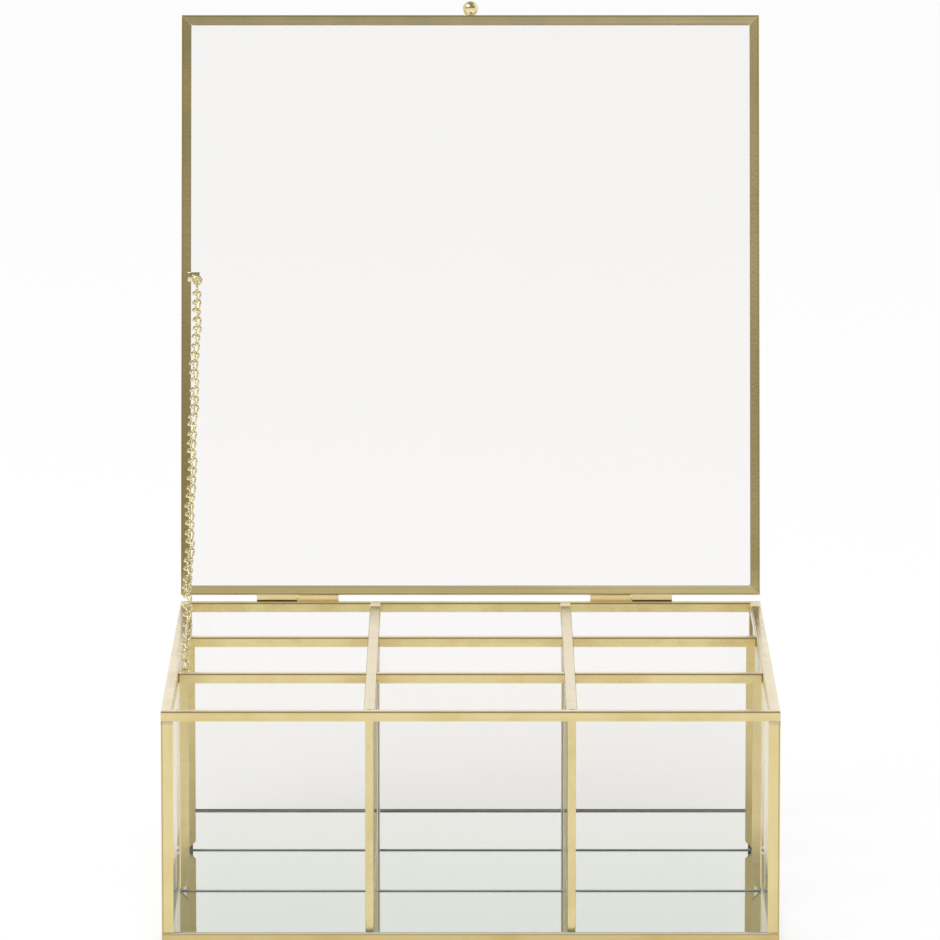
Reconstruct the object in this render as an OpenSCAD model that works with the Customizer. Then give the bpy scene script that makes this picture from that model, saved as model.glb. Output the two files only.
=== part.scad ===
// Tea bag organizer box of clear glass framed in folded brass strip.
// Nine open compartments over a mirror floor, and a glass lid on two rear hinges
// that a chain of twisted links holds open a little past upright.
// Origin: middle of the base, underside at z = 0. The front faces -Y, the lid opens to the rear.
// The model stands in its rest pose: the lid open and the chain straight.

/* [Box] */
// Outside width of the box
box_w = 220; // [200:2:240]
// Outside depth of the box
box_d = 220; // [200:2:240]
// Height of the box to the top of its rim
box_h = 84.5; // [74:0.5:100]

/* [Glass] */
// Thickness of the four wall panes
wall_glass = 3; // [2.5:0.1:4]
// Thickness of the panes of the dividers
divider_glass = 2; // [1.6:0.1:3]
// Thickness of the lid pane
lid_glass = 3; // [2.5:0.1:4]
// Thickness of the mirror floor
mirror_t = 3; // [2:0.5:5]

/* [Brass] */
// Thickness of the folded strip
brass_t = 0.5; // [0.4:0.05:0.7]
// Height of the channels on the walls and dividers
rim_h = 3.6; // [3:0.2:4.6]
// Width of the channel round the lid
lid_strip = 3.6; // [3.2:0.2:5]
// Leg of the angle round the bottom edge
base_leg = 4; // [3:0.5:7]
// Leg of the angle up each corner
post_leg = 4.2; // [3.4:0.2:5.4]

/* [Lid] */
// How far the lid reaches past the front of the box
lid_overhang = 1; // [0:0.5:3]
// Gap between the rim and the closed lid
lid_gap = 0.9; // [0.8:0.1:1.4]
// How far the lid opens, from closed
open_angle = 102; // [96:1:108]
// Diameter of the ball knob
knob_d = 6; // [5:0.5:9]

/* [Hinges] */
// Distance from the middle of each hinge to the side of the box
hinge_inset = 46.7; // [36:0.1:60]
// How far both hinges sit to the left of the middle
hinge_shift = 2.3; // [0:0.1:4]
// Length of one hinge
hinge_len = 31; // [22:1:36]
// Diameter of the knuckles
knuckle_d = 2.8; // [2.4:0.1:3.4]
// Diameter of the hinge pins
pin_d = 1.2; // [0.8:0.1:1.4]

/* [Chain] */
// Distance of the lid's eye from the rear edge of the lid
eye_reach = 118; // [106:1:130]
// Diameter of the wire of the links
link_wire = 0.8; // [0.7:0.05:0.9]
// Width over one link
link_w = 3.6; // [3.4:0.1:3.9]

/* [Hidden] */
$fn = 32;

// Channels: two flanges and a web folded round a pane, the flanges of the dividers double
wall_w = wall_glass + 2 * brass_t;
div_w = divider_glass + 4 * brass_t;
leg_w = divider_glass + 2 * brass_t;
lid_t = lid_glass + 2 * brass_t;
fold_r = brass_t;

// Levels
floor_z = brass_t + mirror_t;
under_rim = box_h - rim_h;
lid_z = box_h + lid_gap;

// Glass planes and the inner faces of the wall channels
glass_x = box_w / 2 - brass_t;
glass_y = box_d / 2 - brass_t;
inner_x = box_w / 2 - wall_w;
inner_y = box_d / 2 - wall_w;

// Three equal compartments each way, with a divider between each two
cell_w = (2 * inner_x - 2 * div_w) / 3;
cell_d = (2 * inner_y - 2 * div_w) / 3;
div_x = (cell_w + div_w) / 2;
div_y = (cell_d + div_w) / 2;

// Corner angles stop short of the angle below and of the rim above
post_foot = 0.3;
post_head = 1;

// Lid outline in its closed pose
lid_d = box_d + lid_overhang;
lid_mid_y = -lid_overhang / 2;
lid_front_y = -box_d / 2 - lid_overhang;

// Hinges: the knuckles stand just clear of the rear faces
knuckle_off = 0.15;
knuckle_gap = 0.3;
pin_play = 0.05;
leaf_h = 3.4;
axis_y = box_d / 2 + knuckle_off + knuckle_d / 2;
axis_z = box_h + lid_gap / 2;
half_len = (hinge_len - knuckle_gap) / 2;
hinge_x = box_w / 2 - hinge_inset;

// Chain eyes: rings of round wire soldered to small tabs
eye_wire = 1;
box_eye_r = 1.4;
lid_eye_r = 1.5;
eye_drop = 2.2;
tab_t = 0.6;
chain_x = -(inner_x - 0.2 - lid_eye_r - eye_wire / 2);

// The chain's two ends (y, z), as the point of the eye's wire that the link hangs on
box_eye = [-cell_d / 2 + 3.5, box_h - 3];
lid_eye_y = box_d / 2 - eye_reach;
lid_eye = opened([lid_eye_y, lid_z - eye_drop]);
chain_vec = lid_eye - box_eye;
chain_len = norm(chain_vec);
chain_tilt = atan2(chain_vec.y, chain_vec.x);

// Links: eleven segments of four, each link linked through the one before
link_count = 44;
per_segment = 4;
link_play = 0.06;
link_r = (link_w - link_wire) / 2;
hook = (eye_wire + link_wire) / 2 + link_play;
pitch = (chain_len + 2 * hook - link_wire - link_play) / link_count;
link_len = pitch + link_wire + link_play;
link_side = link_len - 2 * link_r;

// Where a point (y, z) of the closed lid goes when the lid is open
function opened(p) =
    let (r = p - [axis_y, axis_z], c = cos(open_angle), s = sin(open_angle))
    [axis_y + r.x * c + r.y * s, axis_z - r.x * s + r.y * c];

// Turns the closed lid about the hinge axis into its open pose
module open_lid() {
    translate([0, axis_y, axis_z])
        rotate([-open_angle, 0, 0])
            translate([0, -axis_y, -axis_z])
                children();
}

// Turns a piece made for the front edge to another side
module to_side(side) {
    turn = side == "front" ? 0 : side == "right" ? 90 : side == "rear" ? 180 : -90;
    rotate([0, 0, turn])
        children();
}

// Mirrors a piece made at +X to the left
module on_side(sx) {
    if (sx > 0)
        children();
    else
        mirror([1, 0, 0])
            children();
}

// Edge length and outer plane of one side of a w by d rectangle
function run(side, w, d) = side == "front" || side == "rear" ? w : d;
function reach(side, w, d) = side == "front" || side == "rear" ? d / 2 : w / 2;

// Keeps what lies between the 45 degree mitres of a front edge
module mitred(len, out, deep) {
    intersection() {
        children();
        linear_extrude(height = 4 * box_h, center = true)
            polygon([
                [-len / 2, -out], [len / 2, -out],
                [len / 2 - deep, -out + deep], [-len / 2 + deep, -out + deep]
            ]);
    }
}

// Runs a flat profile along X, its x becoming Y
module along_x(len) {
    rotate([90, 0, 90])
        linear_extrude(height = len, center = true)
            children();
}

// Block w wide with its two upper folds rounded, top at y = 0
module fold_block(w, h) {
    translate([-w / 2, -h])
        square([w, h - fold_r]);
    translate([-w / 2 + fold_r, -h])
        square([w - 2 * fold_r, h]);
    for (side = [-1, 1])
        translate([side * (w / 2 - fold_r), -fold_r])
            circle(r = fold_r);
}

// Channel folded over a pane: web on top at y = 0, two flanges h high
module channel(w, h) {
    difference() {
        fold_block(w, h);
        translate([-w / 2 + brass_t, -h - 1])
            square([w - 2 * brass_t, h + 1 - brass_t]);
    }
}

// ---- Base, walls and rim ----

module mirror_base() {
    color("#dbe2da")
        translate([-glass_x, -glass_y, brass_t])
            cube([2 * glass_x, 2 * glass_y, mirror_t]);
}

// The front and rear panes run full width, the side panes stand between them
module wall_pane(side) {
    wide = side == "front" || side == "rear";
    half = wide ? glass_x : glass_y - wall_glass;
    color("#eff2ef", 0.35)
        to_side(side)
            translate([-half, -(wide ? glass_y : glass_x), floor_z])
                cube([2 * half, wall_glass, box_h - brass_t - floor_z]);
}

// Angle under and round the bottom edge, mitred at the corners
module bottom_rail(side) {
    len = run(side, box_w, box_d);
    out = reach(side, box_w, box_d);
    color("#c8ad78")
        to_side(side)
            mitred(len, out, base_leg + 1)
                translate([0, -out, 0])
                    along_x(len) {
                        square([brass_t, base_leg]);
                        square([base_leg, brass_t]);
                    }
}

// Angle soldered up a corner of the glass, cut short of rail and rim
module corner_post(sx, sy) {
    foot = base_leg + post_foot;
    head = under_rim - post_head;
    x = box_w / 2;
    y = box_d / 2;
    angle = [
        [x, y], [x - post_leg, y], [x - post_leg, y - brass_t],
        [x - brass_t, y - brass_t], [x - brass_t, y - post_leg], [x, y - post_leg]
    ];
    color("#d9c68f")
        translate([0, 0, foot])
            linear_extrude(height = head - foot)
                polygon([for (p = angle) [sx * p.x, sy * p.y]]);
}

// Channel folded over the top edge of a wall, mitred at the corners
module top_rim(side) {
    len = run(side, box_w, box_d);
    out = reach(side, box_w, box_d);
    color("#dcc68e")
        to_side(side)
            mitred(len, out, wall_w + 1)
                translate([0, -out + wall_w / 2, box_h])
                    along_x(len)
                        channel(wall_w, rim_h);
}

// ---- Dividers ----

// Pane of a divider that runs along X from x0 to x1, centred on y = 0
module divider_pane(x0, x1) {
    color("#eff2ef", 0.35)
        translate([x0, -divider_glass / 2, floor_z])
            cube([x1 - x0, divider_glass, box_h - brass_t - floor_z]);
}

// One channel folded over the top of a divider pane and down its ends at the walls,
// mitred at the turns; the feet of the end legs are cut at 45 degrees.
// The legs have single flanges, so they are narrower than the channel on top.
// post0 and post1 say which ends have a leg; the other ends butt square.
module divider_frame(x0, x1, post0, post1) {
    foot0 = [
        [x0, floor_z], [x0 + rim_h, floor_z + rim_h], [x0 + rim_h, under_rim]
    ];
    foot1 = [
        [x1 - rim_h, under_rim], [x1 - rim_h, floor_z + rim_h], [x1, floor_z]
    ];
    outline = concat(
        post0 ? foot0 : [[x0, under_rim]],
        post1 ? foot1 : [[x1, under_rim]],
        [[x1, box_h], [x0, box_h]]
    );
    slot0 = x0 + (post0 ? brass_t : -1);
    slot1 = x1 - (post1 ? brass_t : -1);
    color("#e2cc98")
        difference() {
            intersection() {
                rotate([90, 0, 0])
                    linear_extrude(height = div_w, center = true)
                        polygon(outline);
                union() {
                    intersection() {
                        translate([(x0 + x1) / 2, 0, box_h])
                            along_x(x1 - x0)
                                fold_block(div_w, rim_h);
                        linear_extrude(height = box_h)
                            frame_plan(x0, x1, div_w, post0, post1);
                    }
                    linear_extrude(height = under_rim + fold_r)
                        frame_plan(x0, x1, leg_w, post0, post1);
                }
            }
            translate([slot0, -divider_glass / 2, -1])
                cube([slot1 - slot0, divider_glass, box_h - brass_t + 1]);
        }
}

// Plan of a channel w wide, its folds rounded at the ends that have a leg
module frame_plan(x0, x1, w, post0, post1) {
    r0 = post0 ? fold_r : 0;
    r1 = post1 ? fold_r : 0;
    translate([x0 + r0, -w / 2])
        square([x1 - x0 - r0 - r1, w]);
    translate([x0, -w / 2 + fold_r])
        square([x1 - x0, w - 2 * fold_r]);
    for (side = [-1, 1]) {
        if (post0)
            translate([x0 + fold_r, side * (w / 2 - fold_r)])
                circle(r = fold_r);
        if (post1)
            translate([x1 - fold_r, side * (w / 2 - fold_r)])
                circle(r = fold_r);
    }
}

// The two long dividers run from front to rear in one piece
module long_pane(sx) {
    translate([sx * div_x, 0, 0])
        rotate([0, 0, 90])
            divider_pane(-inner_y + brass_t, inner_y - brass_t);
}

module long_frame(sx) {
    translate([sx * div_x, 0, 0])
        rotate([0, 0, 90])
            divider_frame(-inner_y, inner_y, true, true);
}

// The two cross dividers are in three bays each, between the long ones
module cross_pane(sy, bay) {
    edge = div_x + div_w / 2;
    translate([0, sy * div_y, 0])
        if (bay == 0)
            divider_pane(-div_x + div_w / 2, div_x - div_w / 2);
        else
            on_side(bay)
                divider_pane(edge, inner_x - brass_t);
}

module cross_frame(sy, bay) {
    edge = div_x + div_w / 2;
    translate([0, sy * div_y, 0])
        if (bay == 0)
            divider_frame(-div_x + div_w / 2, div_x - div_w / 2, false, false);
        else
            on_side(bay)
                divider_frame(edge, inner_x, false, true);
}

// ---- Lid ----

module lid_glass_pane() {
    pane_w = box_w - 2 * brass_t;
    pane_d = lid_d - 2 * brass_t;
    color("#f5f3f0", 0.35)
        open_lid()
            translate([-pane_w / 2, lid_mid_y - pane_d / 2, lid_z + brass_t])
                cube([pane_w, pane_d, lid_glass]);
}

// Channel folded round an edge of the lid pane, mitred at the corners
module lid_rail(side) {
    len = run(side, box_w, lid_d);
    out = reach(side, box_w, lid_d);
    color("#b09a63")
        open_lid()
            translate([0, lid_mid_y, lid_z + lid_t / 2])
                to_side(side)
                    mitred(len, out, lid_strip + 1)
                        translate([0, -out, 0])
                            along_x(len)
                                rotate(90)
                                    channel(lid_t, lid_strip);
}

// Ball on a collar at the middle of the lid's free edge
module lid_knob() {
    ball_y = lid_front_y - 0.87 * knob_d / 2;
    color("#dcc88c")
        open_lid()
            translate([0, 0, lid_z + lid_t / 2]) {
                intersection() {
                    translate([0, ball_y, 0])
                        sphere(d = knob_d, $fn = 48);
                    translate([-knob_d, lid_front_y - 2 * knob_d, -knob_d])
                        cube(2 * knob_d);
                }
                translate([0, lid_front_y, 0])
                    rotate([90, 0, 0])
                        cylinder(d = 0.64 * knob_d, h = 0.6);
            }
}

// ---- Hinges ----

// One half of a hinge from x0 on: a leaf above or below the axis, with a knuckle on it
module knuckle(x0, above, bore) {
    difference() {
        union() {
            translate([x0, box_d / 2, above ? axis_z : axis_z - leaf_h])
                cube([half_len, brass_t, leaf_h]);
            translate([x0, box_d / 2, above ? axis_z : axis_z - 1])
                cube([half_len, axis_y - box_d / 2, 1]);
            translate([x0, axis_y, axis_z])
                rotate([0, 90, 0])
                    cylinder(d = knuckle_d, h = half_len);
        }
        translate([x0 - 1, axis_y, axis_z])
            rotate([0, 90, 0])
                cylinder(d = bore, h = half_len + 2);
    }
}

// The outer half is soldered to the rear rim, the pin pressed into it
module box_knuckle(sx) {
    color("#b79f68")
        translate([-hinge_shift, 0, 0])
            on_side(sx)
                knuckle(hinge_x + knuckle_gap / 2, false, pin_d);
}

// The inner half is soldered to the rear edge of the lid and turns on the pin
module lid_knuckle(sx) {
    color("#b79f68")
        open_lid()
            translate([-hinge_shift, 0, 0])
                on_side(sx)
                    knuckle(hinge_x - hinge_len / 2, true, pin_d + 2 * pin_play);
}

module hinge_pin(sx) {
    color("#c9b27a")
        translate([sx * hinge_x - hinge_shift - hinge_len / 2, axis_y, axis_z])
            rotate([0, 90, 0])
                cylinder(d = pin_d, h = hinge_len);
}

// ---- Chain ----

// Ring of round wire whose wire passes through the origin, its middle at -reach along x
module eye_ring(r) {
    translate([-r, 0, 0])
        rotate_extrude()
            translate([r, 0])
                circle(d = eye_wire, $fn = 24);
}

// Ring across the chain, on a tab soldered inside the left rim
module box_chain_eye() {
    mid = box_eye - box_eye_r * [cos(chain_tilt), sin(chain_tilt)];
    color("#c9b27a") {
        translate([chain_x, box_eye.x, box_eye.y])
            rotate([chain_tilt, 0, 0])
                rotate([0, 0, 90])
                    eye_ring(box_eye_r);
        translate([-inner_x, mid.x, mid.y])
            rotate([0, 90, 0])
                cylinder(d = eye_wire, h = inner_x + chain_x - box_eye_r);
        translate([-inner_x, mid.x - 1.9, mid.y - eye_wire])
            cube([tab_t, 3, eye_wire + box_h - fold_r - mid.y - 0.3]);
    }
}

// Ring parallel to the lid, on a stem and a tab soldered under the inner edge of its left strip
module lid_chain_eye() {
    far_y = lid_eye_y - 2 * lid_eye_r;
    tab_x = -box_w / 2 + lid_strip - 1.2;
    color("#c9b27a")
        open_lid() {
            translate([chain_x, lid_eye_y, lid_z - eye_drop])
                rotate([0, 0, 90])
                    eye_ring(lid_eye_r);
            translate([chain_x, far_y, lid_z - eye_drop])
                cylinder(d = eye_wire, h = eye_drop - tab_t / 2);
            translate([tab_x, far_y - 1.8, lid_z - tab_t])
                cube([chain_x + 0.8 - tab_x, 3.6, tab_t]);
        }
}

// Centre line of one link: two half rings, turned by t0 and t1 about the length,
// joined by two sides that twist from one to the other
function smooth(t) = t * t * (3 - 2 * t);
function across(r, turn) = [0, r * cos(turn), r * sin(turn)];
function link_line(t0, t1) =
    let (half = link_side / 2, n = 6, m = 3)
    concat(
        [for (i = [0 : n]) let (a = -90 + 180 * i / n)
            [half + link_r * cos(a), 0, 0] + across(link_r * sin(a), t1)],
        [for (i = [1 : m - 1]) let (f = i / m)
            [half - link_side * f, 0, 0] + across(link_r, t1 + (t0 - t1) * smooth(f))],
        [for (i = [0 : n]) let (a = 90 - 180 * i / n)
            [-half - link_r * cos(a), 0, 0] + across(link_r * sin(a), t0)],
        [for (i = [1 : m - 1]) let (f = i / m)
            [-half + link_side * f, 0, 0] - across(link_r, t0 + (t1 - t0) * smooth(f))]
    );

// Solid wire with six sides along a closed line
function unit(v) = v / norm(v);
module closed_wire(line, d) {
    n = len(line);
    half = link_side / 2;
    points = [
        for (i = [0 : n - 1])
            let (
                p = line[i],
                t = unit(line[(i + 1) % n] - line[(i + n - 1) % n]),
                c = [max(-half, min(half, p.x)), 0, 0],
                out = unit((p - c) - t * ((p - c) * t)),
                up = cross(t, out)
            )
            for (k = [0 : 5])
                p + d / 2 * (out * cos(60 * k) + up * sin(60 * k))
    ];
    faces = [
        for (i = [0 : n - 1])
            for (k = [0 : 5])
                let (j = (i + 1) % n, l = (k + 1) % 6)
                [6 * i + k, 6 * j + k, 6 * j + l, 6 * i + l]
    ];
    polyhedron(points = points, faces = faces);
}

// Four links, each hung on the wire of the link before it.
// A link begins across the chain and ends along it; the last one stays across.
module chain_segment(k) {
    color("#d8c691")
        translate([chain_x, box_eye.x, box_eye.y])
            rotate([chain_tilt, 0, 0])
                rotate([0, 0, 90])
                    for (i = [0 : per_segment - 1]) {
                        index = per_segment * (k - 1) + i;
                        last = index == link_count - 1;
                        translate([link_len / 2 - hook + index * pitch, 0, 0])
                            closed_wire(link_line(90, last ? 90 : 0), link_wire);
                    }
}

mirror_base();
wall_pane("front");  // front_glass
wall_pane("rear");  // rear_glass
wall_pane("left");  // left_glass
wall_pane("right");  // right_glass
bottom_rail("front");  // front_bottom_rail
bottom_rail("rear");  // rear_bottom_rail
bottom_rail("left");  // left_bottom_rail
bottom_rail("right");  // right_bottom_rail
corner_post(-1, -1);  // front_left_post
corner_post(1, -1);  // front_right_post
corner_post(-1, 1);  // rear_left_post
corner_post(1, 1);  // rear_right_post
top_rim("front");  // front_top_rim
top_rim("rear");  // rear_top_rim
top_rim("left");  // left_top_rim
top_rim("right");  // right_top_rim
long_pane(-1);  // long_divider_left_glass
long_pane(1);  // long_divider_right_glass
long_frame(-1);  // long_divider_left_frame
long_frame(1);  // long_divider_right_frame
cross_pane(-1, -1);  // cross_front_left_glass
cross_pane(-1, 0);  // cross_front_middle_glass
cross_pane(-1, 1);  // cross_front_right_glass
cross_pane(1, -1);  // cross_rear_left_glass
cross_pane(1, 0);  // cross_rear_middle_glass
cross_pane(1, 1);  // cross_rear_right_glass
cross_frame(-1, -1);  // cross_front_left_frame
cross_frame(-1, 0);  // cross_front_middle_frame
cross_frame(-1, 1);  // cross_front_right_frame
cross_frame(1, -1);  // cross_rear_left_frame
cross_frame(1, 0);  // cross_rear_middle_frame
cross_frame(1, 1);  // cross_rear_right_frame
box_chain_eye();
lid_glass_pane();
lid_rail("front");  // lid_front_rail
lid_rail("rear");  // lid_rear_rail
lid_rail("left");  // lid_left_rail
lid_rail("right");  // lid_right_rail
lid_knob();
lid_chain_eye();
box_knuckle(-1);  // left_box_knuckle
box_knuckle(1);  // right_box_knuckle
lid_knuckle(-1);  // left_lid_knuckle
lid_knuckle(1);  // right_lid_knuckle
hinge_pin(-1);  // left_hinge_pin
hinge_pin(1);  // right_hinge_pin
chain_segment(1);  // chain_segment_01
chain_segment(2);  // chain_segment_02
chain_segment(3);  // chain_segment_03
chain_segment(4);  // chain_segment_04
chain_segment(5);  // chain_segment_05
chain_segment(6);  // chain_segment_06
chain_segment(7);  // chain_segment_07
chain_segment(8);  // chain_segment_08
chain_segment(9);  // chain_segment_09
chain_segment(10);  // chain_segment_10
chain_segment(11);  // chain_segment_11
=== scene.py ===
# %% [markdown]
# # Tea bag organizer box
# A square box of clear panes held in folded brass strip, with nine compartments over a mirror
# floor and a glass lid that a chain of twisted links holds open. The imported model gives every
# piece its place and size. This script dresses it: it gives the strip, wire, glass and mirror
# their finishes and builds again the pieces that need a finer shape. First the model is loaded.

# %% Load the imported model
from math import cos, pi, radians, sin

import bmesh
import bpy
from mathutils import Matrix, Vector


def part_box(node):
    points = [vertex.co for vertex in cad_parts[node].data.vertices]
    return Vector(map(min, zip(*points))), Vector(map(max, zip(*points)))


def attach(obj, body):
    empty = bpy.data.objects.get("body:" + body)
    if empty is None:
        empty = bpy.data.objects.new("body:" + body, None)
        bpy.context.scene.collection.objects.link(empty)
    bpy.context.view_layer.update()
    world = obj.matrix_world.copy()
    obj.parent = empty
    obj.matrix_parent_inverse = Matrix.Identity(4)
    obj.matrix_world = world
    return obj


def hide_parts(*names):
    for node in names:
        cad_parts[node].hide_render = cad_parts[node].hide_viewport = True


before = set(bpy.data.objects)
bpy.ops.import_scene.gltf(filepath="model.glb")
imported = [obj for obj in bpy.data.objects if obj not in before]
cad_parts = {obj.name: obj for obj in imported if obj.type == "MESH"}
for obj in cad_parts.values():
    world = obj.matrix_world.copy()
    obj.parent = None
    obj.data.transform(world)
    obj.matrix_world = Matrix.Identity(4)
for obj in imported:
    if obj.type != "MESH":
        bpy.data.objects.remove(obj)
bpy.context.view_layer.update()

# %% [markdown]
# ## Measures
# A few sizes of the object are used over and over: how thick the strip is, how high the channels
# are, and where the lid's hinge axis lies. Everything is in metres. The lid is modelled lying
# closed, because its pieces are square to the axes there, and then turned open about the axis.

# %% Measures
mm = 0.001
strip = 0.5 * mm
channel_w = 4 * mm
channel_h = 3.6 * mm
open_angle = radians(102)
rim_hi = Vector(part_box("front_top_rim")[1])
rear_hi = Vector(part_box("rear_top_rim")[1])
pin_lo, pin_hi = (Vector(p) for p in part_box("right_hinge_pin"))
box_x, box_y, rim_top = rim_hi.x, rear_hi.y, rim_hi.z
post_lo, post_hi = (Vector(p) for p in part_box("front_left_post"))
post_low, post_high, post_leg = post_lo.z, post_hi.z, post_hi.x - post_lo.x
rail_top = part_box("front_bottom_rail")[1][2]
hinge_axis = Vector((0, (pin_lo.y + pin_hi.y) / 2, (pin_lo.z + pin_hi.z) / 2))
lid_low = rim_top + 0.9 * mm
lid_high = lid_low + channel_w
lid_front = -box_y - 1 * mm
inner_x, inner_y = box_x - channel_w, box_y - channel_w
turn_open = (
    Matrix.Translation(hinge_axis)
    @ Matrix.Rotation(-open_angle, 4, "X")
    @ Matrix.Translation(-hinge_axis)
)
print("half width", box_x, "half depth", box_y, "rim", rim_top, "hinge axis", hinge_axis)

# %% [markdown]
# ## Writing shader maths as Python
# A Math node for every plus and times makes a material hard to read. This small class wraps one
# socket, and adding, subtracting or multiplying it adds the node. The reflected forms, such as
# `__rsub__`, let an expression start with a plain number, as in `1 - mask`.

# %% A socket that can be calculated with
class Value:
    def __init__(self, recipe, socket):
        self.recipe, self.socket = recipe, socket

    def _maths(self, operation, a, b):
        node = self.recipe.node("ShaderNodeMath", {"operation": operation}, {0: a, 1: b})
        return Value(self.recipe, node.outputs[0])

    def __add__(self, other):
        return self._maths("ADD", self, other)

    def __sub__(self, other):
        return self._maths("SUBTRACT", self, other)

    def __rsub__(self, other):
        return self._maths("SUBTRACT", other, self)

    def __mul__(self, other):
        return self._maths("MULTIPLY", self, other)

    def __truediv__(self, other):
        return self._maths("DIVIDE", self, other)

    def size(self):
        return self._maths("ABSOLUTE", self, 0.0)

    def at_most(self, other):
        return self._maths("MINIMUM", self, other)

    def at_least(self, other):
        return self._maths("MAXIMUM", self, other)

    __radd__ = __add__


# %% [markdown]
# ## A recipe for a material
# Every finish below is a short recipe: noise at one or two scales, a ramp that turns it into a
# mask, and a shader that takes the masks. One method adds any node, first its settings and then
# the values or links of its sockets, so each recipe reads from top to bottom.

# %% The recipe class
class Recipe:
    def __init__(self, name, owner=None):
        self.owner = owner or bpy.data.materials.new(name)
        self.owner.use_nodes = True
        self.tree = self.owner.node_tree
        self.tree.nodes.clear()

    def node(self, kind, settings=None, inputs=None):
        made = self.tree.nodes.new(kind)
        for key, value in (settings or {}).items():
            setattr(made, key, value)
        for key, value in (inputs or {}).items():
            self.feed(made.inputs[key], value)
        return made

    def feed(self, socket, value):
        if isinstance(value, Value):
            value = value.socket
        if isinstance(value, bpy.types.NodeSocket):
            self.tree.links.new(value, socket)
        else:
            socket.default_value = value

    def value(self, kind, output, settings=None, inputs=None):
        return Value(self, self.node(kind, settings, inputs).outputs[output])

    def place(self):
        return self.node("ShaderNodeTexCoord").outputs["Object"]

    def axes(self, where=None):
        parts = self.node("ShaderNodeSeparateXYZ", {}, {0: where or self.place()})
        return [Value(self, socket) for socket in parts.outputs]

    def noise(self, scale, detail=2.0, stretch=None):
        where = self.place()
        if stretch:
            where = self.node("ShaderNodeMapping", {}, {"Vector": where, "Scale": stretch})
            where = where.outputs[0]
        inputs = {"Vector": where, "Scale": scale, "Detail": detail, "Roughness": 0.55}
        return self.value("ShaderNodeTexNoise", 0, {}, inputs)

    def mask(self, value, low, high):
        inputs = {"Value": value, "From Min": low, "From Max": high}
        return self.value("ShaderNodeMapRange", 0, {"clamp": True}, inputs)

    def near(self, distance, middle, width):
        offset = (distance - middle) / width
        return (1 - offset * offset).at_least(0)

    def blend(self, factor, a, b):
        inputs = {0: factor, 6: (*a, 1) if isinstance(a, tuple) else a, 7: (*b, 1)}
        return self.node("ShaderNodeMix", {"data_type": "RGBA"}, inputs).outputs[2]

    def bump(self, height, distance, under=None):
        inputs = {"Height": height, "Distance": distance, "Strength": 1.0}
        if under:
            inputs["Normal"] = under
        return self.node("ShaderNodeBump", {}, inputs).outputs[0]

    def finish(self, shader, kind="ShaderNodeOutputMaterial"):
        self.node(kind, {}, {"Surface": shader.outputs[0]})
        return self.owner


# %% [markdown]
# ## Folded brass strip
# The channels are thin brass sheet, rolled and then folded by hand over the glass, so their faces
# are never quite flat. Long shallow waves bend the reflections, and fine lines run along each
# strip from the rolls. Both are a bump and not geometry, because they are far shallower than the
# sheet is thick. The lacquer has yellowed in clouds, and it is thin and pale right on a fold.
# Just beside the fold a darker line of painted shade is laid into the colour. The strips' side
# that faces into the box at the rear is painted paler, rougher and less metallic, which is
# painted light, and the hinges have a duller finish.

# %% Brass recipe
fold_painted_shade, worn_fold = (0.34, 0.25, 0.09), (0.93, 0.82, 0.58)
tarnished, painted_light_brass = (0.36, 0.28, 0.10), (0.80, 0.72, 0.50)


def brass(name, along, pale, deep, rough=0.17, wave=0.0011, edge=None, tarnish=None, metal=1.0,
          inside=None):
    r = Recipe(name)
    waves = r.noise(11, 1.5)
    cloud = r.mask(r.noise(70, 5), 0.42, 0.72)
    grain = r.noise(2600, 3)
    drawn = r.noise(1, 2, tuple(5 if axis == along else 900 for axis in "XYZ"))
    colour = r.blend(cloud * 0.55 + grain * 0.2, pale, deep)
    colour = r.blend(r.mask(drawn, 0.5, 0.75) * 0.35, colour, deep)
    if edge:
        distance = edge(r)
        # Painted shade: a dark line just beside each fold or free edge.
        colour = r.blend(r.near(distance, 0.4 * mm, 0.4 * mm) * 0.55, colour, fold_painted_shade)
        colour = r.blend(r.near(distance, 0.0, 0.18 * mm) * 0.6, colour, worn_fold)
    if tarnish:
        colour = r.blend(tarnish(r), colour, tarnished)
    rough = rough + cloud * 0.08 + grain * 0.06
    if inside:
        # Painted light: the rear strips' inner side takes a paler, less metallic brass so that it
        # reads lighter.
        painted_light_inside = inside(r)
        colour = r.blend(painted_light_inside * 0.7, colour, painted_light_brass)
        metal = metal - painted_light_inside * 0.75
        rough = rough + painted_light_inside * 0.3
    normal = r.bump(waves, wave)
    normal = r.bump(drawn, 0.00003, normal)
    normal = r.bump(grain, 0.000006, normal)
    inputs = {
        "Base Color": colour, "Metallic": metal, "Normal": normal, "Roughness": rough,
    }
    return r.finish(r.node("ShaderNodeBsdfPrincipled", {}, inputs))


def below_rim(r):
    return rim_top - r.axes()[2]


def from_corner(r):
    x, y, _ = r.axes()
    return (box_x - x.size()).at_least(box_y - y.size())


def below_base(r):
    return rail_top - r.axes()[2]


def rear_inner_side(r):
    _, y, _ = r.axes()
    wall = box_y - strip
    return r.mask(y, wall - 11 * mm, wall - 10 * mm) * r.mask(y, wall + 0.3 * mm, wall + 0.2 * mm)


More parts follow.
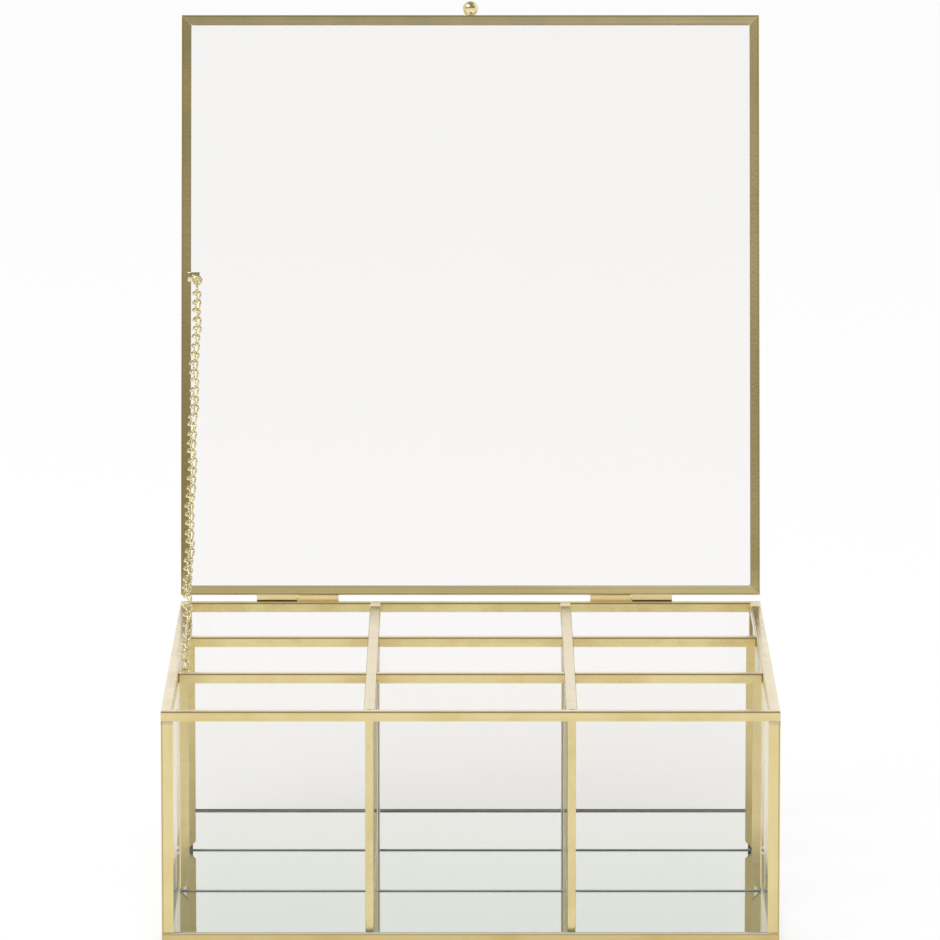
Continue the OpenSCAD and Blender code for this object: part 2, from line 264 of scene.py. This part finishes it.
pale_brass, deep_brass = (0.77, 0.65, 0.34), (0.66, 0.52, 0.23)
strip_brass = {
    "X": brass("strip_across", "X", pale_brass, deep_brass, edge=below_rim),
    "Y": brass("strip_along_the_sides", "Y", pale_brass, deep_brass, edge=below_rim,
               inside=rear_inner_side),
    "Z": brass("corner_post_strip", "Z", pale_brass, deep_brass, edge=from_corner),
    "base": brass("bottom_rail_strip", "X", (0.66, 0.52, 0.25), (0.56, 0.41, 0.16),
                  edge=below_base, inside=rear_inner_side),
    "hinge": brass("hinge_strip", "X", (0.95, 0.79, 0.42), (0.80, 0.62, 0.27), 0.42,
                   metal=0.5),
}
wire_brass = brass("bright_brass_wire", "X", (0.88, 0.80, 0.50), (0.72, 0.60, 0.28), 0.10, 0.0003)
print("brass finishes:", [finish.name for finish in strip_brass.values()], wire_brass.name)

# %% [markdown]
# ## Brass of the lid
# The lid is handled most and has tarnished most, on the side of the chain and on the half that
# is near the hinges. Its front and rear strips are rubbed brighter than the side ones. Its strip
# has the same fold lines, but they run along the lid's own outline. So the recipe first turns
# the place back to where it lies when the lid is closed, and then measures from the edge.

# %% Lid brass
def closed_place(r):
    turned = r.node("ShaderNodeMapping", {}, {
        "Vector": r.node("ShaderNodeMapping", {}, {
            "Vector": r.place(), "Location": tuple(-hinge_axis),
        }).outputs[0],
        "Rotation": (open_angle, 0, 0), "Location": tuple(hinge_axis),
    })
    return turned.outputs[0]


def from_lid_edge(r):
    x, y, _ = r.axes(closed_place(r))
    return (box_x - x.size()).at_most((y - lid_front).at_most(box_y - y))


def lid_tarnish(r):
    x, y, _ = r.axes(closed_place(r))
    left = r.mask(0 - x, -0.06, 0.11)
    lower = r.mask(y, -0.03, 0.05) * r.mask(y, 0.106, 0.098)
    return 0.03 + left * 0.30 + lower * 0.40


lid_brass = {
    axis: brass(f"lid_strip_{axis.lower()}", axis, pale, deep,
                edge=from_lid_edge, tarnish=lid_tarnish)
    for axis, pale, deep in (
        ("X", (0.93, 0.80, 0.45), (0.82, 0.67, 0.33)), ("Y", pale_brass, deep_brass),
    )
}

# %% [markdown]
# ## Solder
# The corners are joined with a little soft solder, plated over with the rest. It is paler and
# duller than the strip and slightly lumpy, so its bump is at the scale of one drop.

# %% Solder recipe
def solder_finish():
    r = Recipe("plated_solder")
    lumps = r.noise(1400, 2)
    colour = r.blend(lumps, (0.58, 0.50, 0.32), (0.74, 0.66, 0.46))
    normal = r.bump(lumps, 0.00012)
    inputs = {
        "Base Color": colour, "Metallic": 1.0, "Normal": normal,
        "Roughness": lumps * 0.2 + 0.22,
    }
    return r.finish(r.node("ShaderNodeBsdfPrincipled", {}, inputs))


solder = solder_finish()

# %% [markdown]
# ## Clear glass
# Seen straight on, a thin pane hardly bends what is behind it: it takes a little of the light
# and mirrors a little, more at a grazing angle. So each face is a see-through shader mixed with
# a mirror by Fresnel, on the outer side of the face only. A very faint film of handling marks
# weakens the mirror here and there. The large panes of the lid and the rear wall come from a
# slightly greyer sheet than the rest. A divider seen nearly along its face shows the brass legs
# at its own ends through the glass. This simple glass can't carry that, so the divider's mirror
# is tinted like brass instead.

# %% Glass recipe
def clear_glass(name, tint, sheen=(1, 1, 1)):
    r = Recipe(name)
    film = r.mask(r.noise(40, 4), 0.35, 0.7)
    mirror = r.value("ShaderNodeFresnel", 0, {}, {"IOR": 1.46})
    back = r.value("ShaderNodeNewGeometry", "Backfacing")
    through = r.node("ShaderNodeBsdfTransparent", {}, {"Color": (*tint, 1)})
    shine = r.node("ShaderNodeBsdfGlossy", {}, {"Color": (*sheen, 1), "Roughness": 0.02})
    amount = mirror * (1 - back) * (0.72 - film * 0.1)
    inputs = {0: amount, 1: through.outputs[0], 2: shine.outputs[0]}
    return r.finish(r.node("ShaderNodeMixShader", {}, inputs))


pane_glass = clear_glass("clear_pane_glass", (0.997, 0.998, 0.996))
grey_glass = clear_glass("faintly_grey_glass", (0.972, 0.967, 0.963))
divider_glass = clear_glass("thin_divider_glass", (0.997, 0.997, 0.995), (0.75, 0.67, 0.43))

# %% [markdown]
# ## Ground glass edges
# Where the pane was cut, the edge is ground to a narrow slope, the arris. It scatters light, and
# the green of the glass shows there, because light reaches it along the pane. Edges that are
# bedded in clear glue, at the rear wall and where a divider meets another, stay pale.

# %% Edge recipe
def ground_edge(name, deep, pale):
    r = Recipe(name)
    grit = r.noise(3000, 2)
    colour = r.blend(grit, deep, pale)
    inputs = {
        "Base Color": colour, "Roughness": grit * 0.2 + 0.35,
        "Normal": r.bump(grit, 0.00002), "Specular IOR Level": 0.5,
    }
    return r.finish(r.node("ShaderNodeBsdfPrincipled", {}, inputs))


glass_edge = ground_edge("ground_glass_edge", (0.36, 0.42, 0.38), (0.52, 0.58, 0.53))
bedded_edge = ground_edge("glued_glass_edge", (0.70, 0.72, 0.68), (0.84, 0.85, 0.81))

# %% [markdown]
# ## Mirror
# The floor is float glass silvered underneath. Its glass is faintly green and cools what it
# shows, and its back is sealed with grey paint. Towards the front the silver is painted darker,
# a painted shade. Clear glue holds the dividers on it, and in front of each long run of glass a
# dark band of painted shade is laid on the silver.

# %% Mirror recipes
def silver():
    r = Recipe("silvered_floor")
    haze = r.noise(60, 4)
    _, y, _ = r.axes()
    colour = r.blend(haze, (0.83, 0.86, 0.83), (0.85, 0.88, 0.85))
    # Painted shade: the silver is painted darker towards the front.
    colour = r.blend(r.mask(y, 0.08, -0.08) * 0.75, colour, (0.70, 0.76, 0.70))
    # Painted shade: a soft dark band just in front of each long run of glass.
    for run in (-0.037, 0.035):
        painted_shade_band = r.mask(y, run - 0.006, run) * r.mask(y, run + 0.004, run + 0.003)
        painted_shade_band = painted_shade_band * painted_shade_band * (0.55 + r.noise(35, 2) * 0.5)
        colour = r.blend(painted_shade_band * 0.5, colour, (0.35, 0.40, 0.36))
    inputs = {"Base Color": colour, "Metallic": 1.0, "Roughness": haze * 0.02 + 0.005}
    return r.finish(r.node("ShaderNodeBsdfPrincipled", {}, inputs))


def backing_paint():
    r = Recipe("mirror_backing_paint")
    orange_peel = r.noise(900, 2)
    inputs = {
        "Base Color": r.blend(orange_peel, (0.30, 0.32, 0.33), (0.36, 0.38, 0.39)),
        "Roughness": orange_peel * 0.15 + 0.5, "Normal": r.bump(orange_peel, 0.00004),
    }
    return r.finish(r.node("ShaderNodeBsdfPrincipled", {}, inputs))


mirror, backing = silver(), backing_paint()
print("glass and mirror finishes:", pane_glass.name, glass_edge.name, mirror.name, backing.name)

# %% [markdown]
# ## Turning a bmesh into a piece
# Each new piece is shaped in a bmesh and handed over here. It gets its finishes, the body it
# moves with and the model's nodes that it stands for. Two more helpers cut a block with softened
# edges and join shapes into one.

# %% The hand-over helper
made = []


def piece(name, bm, finishes, body, stands_for=(), turn=None, smooth=True):
    bmesh.ops.remove_doubles(bm, verts=bm.verts, dist=1e-7)
    bmesh.ops.recalc_face_normals(bm, faces=bm.faces)
    if turn:
        bmesh.ops.transform(bm, matrix=turn, verts=bm.verts)
    for face in bm.faces:
        face.smooth = smooth
    mesh = bpy.data.meshes.new(name)
    bm.to_mesh(mesh)
    bm.free()
    for finish in finishes:
        mesh.materials.append(finish)
    if smooth:
        mesh.set_sharp_from_angle(angle=radians(35))
    thing = bpy.data.objects.new(name, mesh)
    bpy.context.scene.collection.objects.link(thing)
    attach(thing, body)
    if stands_for:
        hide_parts(*stands_for)
    made.append((name, len(mesh.polygons)))
    return thing


# %% Blocks and joined shapes
def block(lo, hi, soft, segments):
    lo, hi = Vector(lo), Vector(hi)
    bm = bmesh.new()
    bmesh.ops.create_cube(bm, size=1)
    bmesh.ops.scale(bm, vec=hi - lo, verts=bm.verts)
    bmesh.ops.translate(bm, vec=(lo + hi) / 2, verts=bm.verts)
    bmesh.ops.bevel(
        bm, geom=bm.edges, offset=soft, affect="EDGES", segments=segments, profile=0.5,
        material=-1,
    )
    return bm


def join(parts, indices=None):
    whole = bmesh.new()
    for i, part in enumerate(parts):
        if indices:
            for face in part.faces:
                face.material_index = indices[i]
        mesh = bpy.data.meshes.new("part")
        part.to_mesh(mesh)
        part.free()
        whole.from_mesh(mesh)
        bpy.data.meshes.remove(mesh)
    return whole


# %% [markdown]
# ## Panes
# Every pane is a cut sheet with ground edges. A block is cut to the sheet's size, and all its
# edges are bevelled by a fraction of a millimetre. The two broad faces stay clear glass. Whatever
# is narrow takes the edge finish, or the glued one where the pane is bedded.

# %% Panes
arris = 0.25 * mm


def sheet_of_glass(lo, hi, bedded=lambda normal: False, slope=arris):
    bm = block(lo, hi, slope, 1)
    widest = max(face.calc_area() for face in bm.faces)
    for face in bm.faces:
        broad = face.calc_area() > 0.6 * widest
        face.material_index = 0 if broad else 2 if bedded(face.normal) else 1
    return bm


def bedding(node):
    if node == "rear_glass":
        return lambda normal: True
    if node.startswith("cross"):
        return lambda normal: abs(normal.x) > 0.5
    return lambda normal: False


pane_nodes = [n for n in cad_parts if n.endswith("_glass")]
for node in pane_nodes:
    bm = sheet_of_glass(*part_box(node), bedding(node))
    clear = grey_glass if node == "rear_glass" else pane_glass
    if node.startswith(("long_divider", "cross")):
        clear = divider_glass
    piece(f"{node}_sheet", bm, [clear, glass_edge, bedded_edge], "box", [node],
          smooth=False)

lo = (-box_x + strip, lid_front + strip, lid_low + strip)
hi = (box_x - strip, box_y - strip, lid_high - strip)
bm = sheet_of_glass(lo, hi)
piece("lid_sheet", bm, [grey_glass, glass_edge], "lid", ["lid_glass_pane"],
      turn_open, smooth=False)
print("panes:", len(pane_nodes) + 1)

# %% [markdown]
# ## Mirror floor
# The floor is the same kind of sheet. Its upper face shows the silver, and its lower face is
# painted.

# %% Mirror floor
bm = sheet_of_glass(*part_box("mirror_base"), slope=0.3 * mm)
for face in bm.faces:
    if face.normal.z < -0.9:
        face.material_index = 2
piece("mirror_sheet", bm, [mirror, glass_edge, backing], "box", ["mirror_base"],
      smooth=False)
print("mirror floor:", made[-1])

# %% [markdown]
# ## Chain links
# Each link is a wire ring pulled long and then twisted a quarter turn, so that the links lie
# flat against each other. The ring is made as it would be bent: a round section is spun half
# round, drawn along the side, spun half round again and drawn back. The twist then turns every
# point about the link's length, smoothly from one end to the other. The last link isn't twisted,
# because the lid's eye takes it the other way.

# %% One link
def smooth_step(t):
    t = max(0.0, min(1.0, t))
    return t * t * (3 - 2 * t)


side_steps, bend_steps = 8, 12


def link(side, bend, wire, twist):
    bm = bmesh.new()
    section = bmesh.ops.create_circle(bm, radius=wire / 2, segments=12)["verts"]
    bmesh.ops.rotate(bm, cent=(0, 0, 0), matrix=Matrix.Rotation(pi / 2, 3, "Y"), verts=section)
    bmesh.ops.translate(bm, vec=(-side / 2, bend, 0), verts=section)
    ring = list(bm.edges)
    for end in (1, -1):
        for _ in range(side_steps):
            drawn = bmesh.ops.extrude_edge_only(bm, edges=ring)["geom"]
            verts = [g for g in drawn if isinstance(g, bmesh.types.BMVert)]
            bmesh.ops.translate(bm, vec=(end * side / side_steps, 0, 0), verts=verts)
            ring = [g for g in drawn if isinstance(g, bmesh.types.BMEdge)]
        turned = bmesh.ops.spin(
            bm, geom=ring, cent=(end * side / 2, 0, 0), axis=(0, 0, -1), angle=pi,
            steps=bend_steps, use_merge=False, use_duplicate=False,
        )["geom_last"]
        ring = [g for g in turned if isinstance(g, bmesh.types.BMEdge)]
    bmesh.ops.remove_doubles(bm, verts=bm.verts, dist=1e-6)
    for vert in bm.verts:
        share = smooth_step((vert.co.x + side / 2) / side)
        angle = pi / 2 if not twist else (1 - share) * pi / 2
        vert.co.yz = (
            vert.co.y * cos(angle) - vert.co.z * sin(angle),
            vert.co.y * sin(angle) + vert.co.z * cos(angle),
        )
    return bm


# %% [markdown]
# ## Hanging the chain
# The chain runs straight from the eye inside the left rim to the eye under the lid's left strip.
# Forty-four links share its length, and four of them ride on each of the chain's eleven bodies.
# The pitch follows from the two eyes, as in the model. A light chain never hangs quite straight,
# so its line wanders a little to the side, and each link is rolled by a few degrees.

# %% The chain
wire, link_bend, play, eye_wire = 0.8 * mm, 1.4 * mm, 0.06 * mm, 1.0 * mm
chain_bodies, links_each = 11, 4
link_count = chain_bodies * links_each
chain_x = -box_x + 6.2 * mm
eye_y, eye_z = box_y - 118 * mm, lid_low - 2.2 * mm
low_eye = Vector((chain_x, -30.5 * mm, rim_top - 3 * mm))
high_eye = turn_open @ Vector((chain_x, eye_y, eye_z))
run = high_eye - low_eye
hook = (eye_wire + wire) / 2 + play
pitch = (run.length + 2 * hook - wire - play) / link_count
link_long = pitch + wire + play
link_side = link_long - 2 * link_bend
u = run.normalized()
across = Vector((-1, 0, 0))
along_chain = Matrix((u, across, u.cross(across))).transposed().to_4x4()
along_chain.translation = low_eye


def wander(s):
    still = 16 * mm
    fade = min(1, s / still, (run.length - s) / still)
    wide = 0.30 * sin(s / (6.1 * mm)) + 0.16 * sin(s / (2.3 * mm) + 1)
    return max(0, fade) * wide * mm


last = link_count - 1
for k in range(chain_bodies):
    links = []
    for i in range(links_each * k, links_each * (k + 1)):
        one = link(link_side, link_bend, wire, twist=i != last)
        roll = Matrix.Rotation(radians(16 * sin(2.4 * i)) * (0 < i < last), 4, "X")
        shift = Matrix.Translation((link_long / 2 - hook + i * pitch, 0, 0))
        bmesh.ops.transform(one, matrix=shift @ roll, verts=one.verts)
        for vert in one.verts:
            vert.co.y += wander(vert.co.x)
        bmesh.ops.transform(one, matrix=along_chain, verts=one.verts)
        links.append(one)
    name = f"chain_segment_{k + 1:02d}"
    piece(f"{name}_links", join(links), [wire_brass], f"chain_{k + 1:02d}", [name])
print("chain", round(run.length / mm, 2), "mm, pitch", round(pitch / mm, 3), "mm")

# %% [markdown]
# ## Rings and tabs of the chain eyes
# Each eye is a ring of thicker wire on a small tab, soldered where it meets. A ring is a section
# spun a full turn about its middle.

# %% Helpers for rings, rods and tabs
def ring_of_wire(middle, normal, radius, wire):
    bm = bmesh.new()
    section = bmesh.ops.create_circle(bm, radius=wire / 2, segments=14)["verts"]
    bmesh.ops.rotate(bm, cent=(0, 0, 0), matrix=Matrix.Rotation(pi / 2, 3, "X"), verts=section)
    bmesh.ops.translate(bm, vec=(radius, 0, 0), verts=section)
    bmesh.ops.spin(
        bm, geom=list(bm.edges), cent=(0, 0, 0), axis=(0, 0, 1), angle=2 * pi,
        steps=40, use_merge=True, use_duplicate=False,
    )
    place = Vector((0, 0, 1)).rotation_difference(normal).to_matrix().to_4x4()
    place.translation = middle
    bmesh.ops.transform(bm, matrix=place, verts=bm.verts)
    return bm


def rod(start, end, radius, segments=16, soft=0.0):
    start, end = Vector(start), Vector(end)
    bm = bmesh.new()
    bmesh.ops.create_cone(
        bm, cap_ends=True, segments=segments, radius1=radius, radius2=radius,
        depth=(end - start).length,
    )
    if soft:
        rims = [e for e in bm.edges if any(len(f.verts) > 4 for f in e.link_faces)]
        bmesh.ops.bevel(
            bm, geom=rims, offset=soft, affect="EDGES", segments=3, profile=0.5, material=-1
        )
    place = Vector((0, 0, 1)).rotation_difference(end - start).to_matrix().to_4x4()
    place.translation = (start + end) / 2
    bmesh.ops.transform(bm, matrix=place, verts=bm.verts)
    return bm


def tab(lo, hi, soft):
    return block(lo, hi, soft, 2)


def drop(middle, size, squash):
    bm = bmesh.new()
    bmesh.ops.create_icosphere(bm, subdivisions=2, radius=size)
    bmesh.ops.scale(bm, vec=squash, verts=bm.verts)
    bmesh.ops.translate(bm, vec=middle, verts=bm.verts)
    return bm


# %% [markdown]
# The lower eye's ring lies across the chain, so that the first link can swing on it. A short
# stub joins it to a tab on the inner face of the left rim. The upper eye's ring lies parallel to
# the lid and hangs from a stem under a tab on the strip. Both get a drop of solder.

# %% The two eyes
ring_mid = low_eye - 1.4 * mm * u
parts = [
    ring_of_wire(ring_mid, u.cross(across), 1.4 * mm, eye_wire),
    rod((-inner_x, ring_mid.y, ring_mid.z), (chain_x - 1.4 * mm, ring_mid.y, ring_mid.z),
        eye_wire / 2),
    tab((-inner_x, ring_mid.y - 1.9 * mm, ring_mid.z - 1 * mm),
        (-inner_x + 0.6 * mm, ring_mid.y + 1.1 * mm, rim_top - 0.8 * mm), 0.15 * mm),
    drop((-inner_x + 0.5 * mm, ring_mid.y - 0.2 * mm, ring_mid.z + 1.6 * mm), 0.9 * mm,
         (0.4, 1, 1)),
]
piece("box_eye", join(parts, [0, 0, 0, 1]), [wire_brass, solder], "box", ["box_chain_eye"])

far_y = eye_y - 3 * mm
parts = [
    ring_of_wire(Vector((chain_x, eye_y - 1.5 * mm, eye_z)), Vector((0, 0, 1)), 1.5 * mm,
                 eye_wire),
    rod((chain_x, far_y, eye_z), (chain_x, far_y, lid_low - 0.3 * mm), eye_wire / 2),
    tab((-box_x + 2.4 * mm, far_y - 1.8 * mm, lid_low - 0.6 * mm),
        (chain_x + 0.8 * mm, far_y + 1.8 * mm, lid_low), 0.15 * mm),
    drop((chain_x - 1.2 * mm, far_y, lid_low - 0.65 * mm), 1.1 * mm, (1, 1, 0.45)),
]
piece("lid_eye", join(parts, [0, 0, 0, 1]), [wire_brass, solder], "lid", ["lid_chain_eye"],
      turn_open)
print("eyes:", made[-2:])

# %% [markdown]
# ## Knob
# A turned brass ball on a thin collar. The ball is a sphere cut flat where it meets the lid's
# edge, and the collar is a short disc with soft rims.

# %% Knob
ball_radius, collar_radius, collar_depth = 3 * mm, 1.92 * mm, 0.6 * mm
ball_y = lid_front - 2.61 * mm
ball_z = (lid_low + lid_high) / 2
ball = bmesh.new()
bmesh.ops.create_uvsphere(ball, u_segments=48, v_segments=24, radius=ball_radius)
bmesh.ops.translate(ball, vec=(0, ball_y, ball_z), verts=ball.verts)
cut = bmesh.ops.bisect_plane(
    ball, geom=list(ball.verts) + list(ball.edges) + list(ball.faces),
    plane_co=(0, lid_front, ball_z), plane_no=(0, 1, 0), clear_outer=True,
)
edges = [g for g in cut["geom_cut"] if isinstance(g, bmesh.types.BMEdge)]
bmesh.ops.holes_fill(ball, edges=edges, sides=0)
collar_end = (0, lid_front - collar_depth, ball_z)
collar = rod((0, lid_front, ball_z), collar_end, collar_radius, 40, 0.12 * mm)
piece("ball_knob", join([ball, collar]), [wire_brass], "lid", ["lid_knob"], turn_open)
print("knob:", made[-1])

# %% [markdown]
# ## Hinges
# Each hinge half is a strip of sheet rolled round the pin: a flat leaf that ends in a knuckle
# with an open seam. The knuckle is the strip's section spun nearly a full turn about the pin.

# %% Hinge halves
knuckle_radius, leaf_height, rolled = 1.4 * mm, 3.4 * mm, radians(338)


def hinge_half(x0, x1, above, bore):
    outer = knuckle_radius
    y, z = hinge_axis.y, hinge_axis.z
    up = 1 if above else -1
    roll = bmesh.new()
    bmesh.ops.create_grid(roll, x_segments=1, y_segments=1, size=0.5)
    bmesh.ops.scale(roll, vec=(x1 - x0, outer - bore, 1), verts=roll.verts)
    bmesh.ops.translate(
        roll, vec=((x0 + x1) / 2, y - (outer + bore) / 2, z), verts=roll.verts
    )
    bmesh.ops.spin(
        roll, geom=list(roll.faces) + list(roll.edges) + list(roll.verts), cent=(0, y, z),
        axis=(1, 0, 0), angle=up * rolled, steps=40, use_merge=False, use_duplicate=False,
    )
    foot = z if above else z - leaf_height
    leaf = tab((x0, box_y, foot), (x1, box_y + strip, foot + leaf_height), 0.08 * mm)
    bridge = tab(
        (x0, box_y, z if above else z - 1 * mm),
        (x1, y - 0.9 * mm, z + 1 * mm if above else z), 0.04 * mm,
    )
    return join([roll, leaf, bridge])


for side in ("right", "left"):
    for half, above in (("box", False), ("lid", True)):
        node = f"{side}_{half}_knuckle"
        x0, x1 = (corner[0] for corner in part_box(node))
        bm = hinge_half(x0, x1, above, (0.65 if above else 0.6) * mm)
        piece(f"{node}_rolled", bm, [strip_brass["hinge"]], half, [node],
              turn_open if above else None)
print("hinge halves:", made[-4:])

# %% [markdown]
# ## Strip that stays as modelled
# The rims, rails, posts and divider channels already have their folded shape in the model, so
# they only take the brass finish. The pins take the brighter wire.

# %% Finish on the model's own pieces
def strip_finish(node):
    sideways = node.startswith(("front", "rear", "cross", "lid_front", "lid_rear"))
    if node.endswith("_pin"):
        return wire_brass
    if node.startswith("lid_"):
        return lid_brass["X" if sideways else "Y"]
    if node.endswith("_bottom_rail"):
        return strip_brass["base"]
    if node.endswith("_post"):
        return strip_brass["Z"]
    return strip_brass["X" if sideways else "Y"]


kept = [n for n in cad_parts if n.endswith(("_rail", "_post", "_rim", "_frame", "_pin"))]
for node in kept:
    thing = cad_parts[node]
    finish = strip_finish(node)
    for slot in thing.material_slots:
        slot.material = finish
print("kept from the model:", len(kept))

# %% [markdown]
# ## Solder at the joints
# Small flattened drops sit in the inner corners where channels meet, and thin runs of solder
# fill the mitres. They are what shows that the frame is made by hand.

# %% Solder drops and mitre runs
def mitre_run(corner, end):
    return rod(corner.lerp(end, 0.12), end, 0.13 * mm, 10)


def at_joints():
    div = 36 * mm
    half = channel_w / 2
    low = rim_top - channel_h
    parts = []
    for sx in (-1, 1):
        for sy in (-1, 1):
            parts.append(drop((sx * inner_x, sy * inner_y, low + 0.5 * mm), 0.8 * mm, (1, 1, 0.7)))
            corner = Vector((sx * box_x, sy * box_y, rim_top - 0.08 * mm))
            end = Vector((sx * inner_x, sy * inner_y, rim_top - 0.08 * mm))
            parts.append(mitre_run(corner, end))
            foot = (sx * (box_x - 0.9 * mm), sy * (box_y - 0.9 * mm), post_low - 0.1 * mm)
            parts.append(drop(foot, 0.5 * mm, (1, 1, 0.5)))
            parts.append(drop((sx * div, sy * (inner_y - 0.1 * mm), rim_top - 0.1 * mm),
                              0.6 * mm, (1.6, 0.5, 0.4)))
            for wide, deep in ((post_leg, 0.46 * mm), (0.46 * mm, post_leg)):
                far = Vector((sx * (box_x - 0.03 * mm), sy * (box_y - 0.03 * mm), post_high))
                near = Vector((far.x - sx * wide, far.y - sy * deep, low))
                lo, hi = (Vector(map(f, far, near)) for f in (min, max))
                parts.append(tab(lo, hi, 0.12 * mm))
            parts.append(drop((sx * (inner_x - 0.1 * mm), sy * div, rim_top - 0.1 * mm),
                              0.6 * mm, (0.5, 1.6, 0.4)))
            for inner in (-1, 1):
                x = sx * div + inner * half
                parts.append(drop((x + inner * 0.1 * mm, sy * div, rim_top - 0.12 * mm),
                                  0.55 * mm, (0.6, 1.7, 0.4)))
                for edge in (-1, 1):
                    parts.append(drop((x, sy * div + edge * half, low + 0.8 * mm),
                                      0.6 * mm, (0.8, 0.8, 1.1)))
    return join(parts)


def at_lid_corners():
    parts = []
    for sx in (-1, 1):
        for y in (lid_front, box_y):
            step = channel_h if y < 0 else -channel_h
            for z in (lid_low + 0.08 * mm, lid_high - 0.08 * mm):
                corner = Vector((sx * box_x, y, z))
                end = Vector((sx * (box_x - channel_h), y + step, z))
                parts.append(mitre_run(corner, end))
            parts.append(drop((sx * (box_x - channel_h), y + step, lid_low + 0.25 * mm),
                              0.6 * mm, (1, 1, 0.5)))
    return join(parts)


piece("box_solder", at_joints(), [solder], "box")
piece("lid_solder", at_lid_corners(), [solder], "lid", turn=turn_open)
print("pieces made:", len(made), "faces:", sum(n for _, n in made))

# %% [markdown]
# ## Table and backdrop
# The object stands on a plain white surface that runs on behind it. For the camera, and for what
# metal and glass mirror, half of its colour is a plain white, so the background stays white
# while the soft shadow still shows.

# %% White surface
def white_surface():
    r = Recipe("white_surface")
    grain = r.noise(300, 2)
    colour = r.blend(grain, (0.90, 0.90, 0.90), (0.93, 0.93, 0.93))
    paper = r.node("ShaderNodeBsdfPrincipled", {}, {"Base Color": colour, "Roughness": 0.9})
    glow = r.node("ShaderNodeEmission", {}, {"Color": (1, 1, 1, 1), "Strength": 1.0})
    path = r.node("ShaderNodeLightPath")
    seen = Value(r, path.outputs["Is Camera Ray"]) + Value(r, path.outputs["Is Glossy Ray"])
    seen = (seen + Value(r, path.outputs["Is Transmission Ray"])).at_most(1.0)
    inputs = {0: seen * 0.7, 1: paper.outputs[0], 2: glow.outputs[0]}
    return r.finish(r.node("ShaderNodeMixShader", {}, inputs))


bm = bmesh.new()
bmesh.ops.create_grid(bm, x_segments=1, y_segments=1, size=9)
bmesh.ops.translate(bm, vec=(0, 3, -0.0001), verts=bm.verts)
ground_mesh = bpy.data.meshes.new("ground")
bm.to_mesh(ground_mesh)
bm.free()
ground_mesh.materials.append(white_surface())
ground = bpy.data.objects.new("ground", ground_mesh)
bpy.context.scene.collection.objects.link(ground)

# %% [markdown]
# ## Studio light
# The room is an even white, as in a light tent. Polished metal needs something darker to mirror
# or it looks flat, so for glossy rays the room darkens overhead, a little at the left, and in
# front of the object above the table's edge.

# %% World
world = bpy.data.worlds.new("light_tent")
bpy.context.scene.world = world
r = Recipe("light_tent", world)
look = r.node("ShaderNodeSeparateXYZ", {}, {0: r.node("ShaderNodeTexCoord").outputs["Generated"]})
side_x, ahead, height = (Value(r, look.outputs[i]) for i in range(3))
front = r.mask(0 - ahead, 0.0, 0.35)
dusk = front * r.mask(height, 0.12, 0.30)
zenith = r.mask(height, 0.62, 0.92)
left = r.mask(0 - side_x, 0.3, 0.9)
dark = (dusk * 0.72).at_least(zenith * 0.68).at_least(left * 0.25)
path = r.node("ShaderNodeLightPath")
shown = Value(r, path.outputs["Is Camera Ray"]) + Value(r, path.outputs["Is Transmission Ray"])
glossy = Value(r, path.outputs["Is Glossy Ray"])
level = (1 - dark * glossy) * (1 - shown.at_most(1.0)) + shown.at_most(1.0)
r.finish(r.node("ShaderNodeBackground", {}, {"Color": (1, 1, 1, 1), "Strength": level}),
         "ShaderNodeOutputWorld")

# %% [markdown]
# One large soft lamp from the upper left gives the shadow a direction. Colours are shown as they
# are, by the Standard view.

# %% Lamp
lamp = bpy.data.lights.new("soft_lamp", "AREA")
lamp.shape, lamp.size, lamp.size_y, lamp.energy = "RECTANGLE", 1.2, 0.8, 9.0
lamp_object = bpy.data.objects.new("soft_lamp", lamp)
lamp_object.location = (-0.9, -0.6, 1.5)
aim = Vector((0, 0, 0.08)) - lamp_object.location
lamp_object.rotation_euler = aim.to_track_quat("-Z", "Y").to_euler()
bpy.context.scene.collection.objects.link(lamp_object)
bpy.context.scene.view_settings.view_transform = "Standard"

# %% [markdown]
# ## Camera
# The photograph was taken with a long lens from about three metres, a little above the rim. The
# place, tilt and lens were worked out from the corners of the box and the lid.

# %% Camera
photo_width, focal_pixels = 940, 8743.2
tilt_down, pan = 9.419, -0.007
view = bpy.data.cameras.new("photo_camera")
view.sensor_width = 36.0
view.lens = focal_pixels / photo_width * view.sensor_width
view.clip_end = 60
camera = bpy.data.objects.new("photo_camera", view)
camera.location = (-0.00058, -3.1557, 0.6766)
camera.rotation_euler = (radians(90 - tilt_down), 0, radians(pan))
bpy.context.scene.collection.objects.link(camera)
bpy.context.scene.camera = camera
print("lens", round(view.lens, 1), "mm")
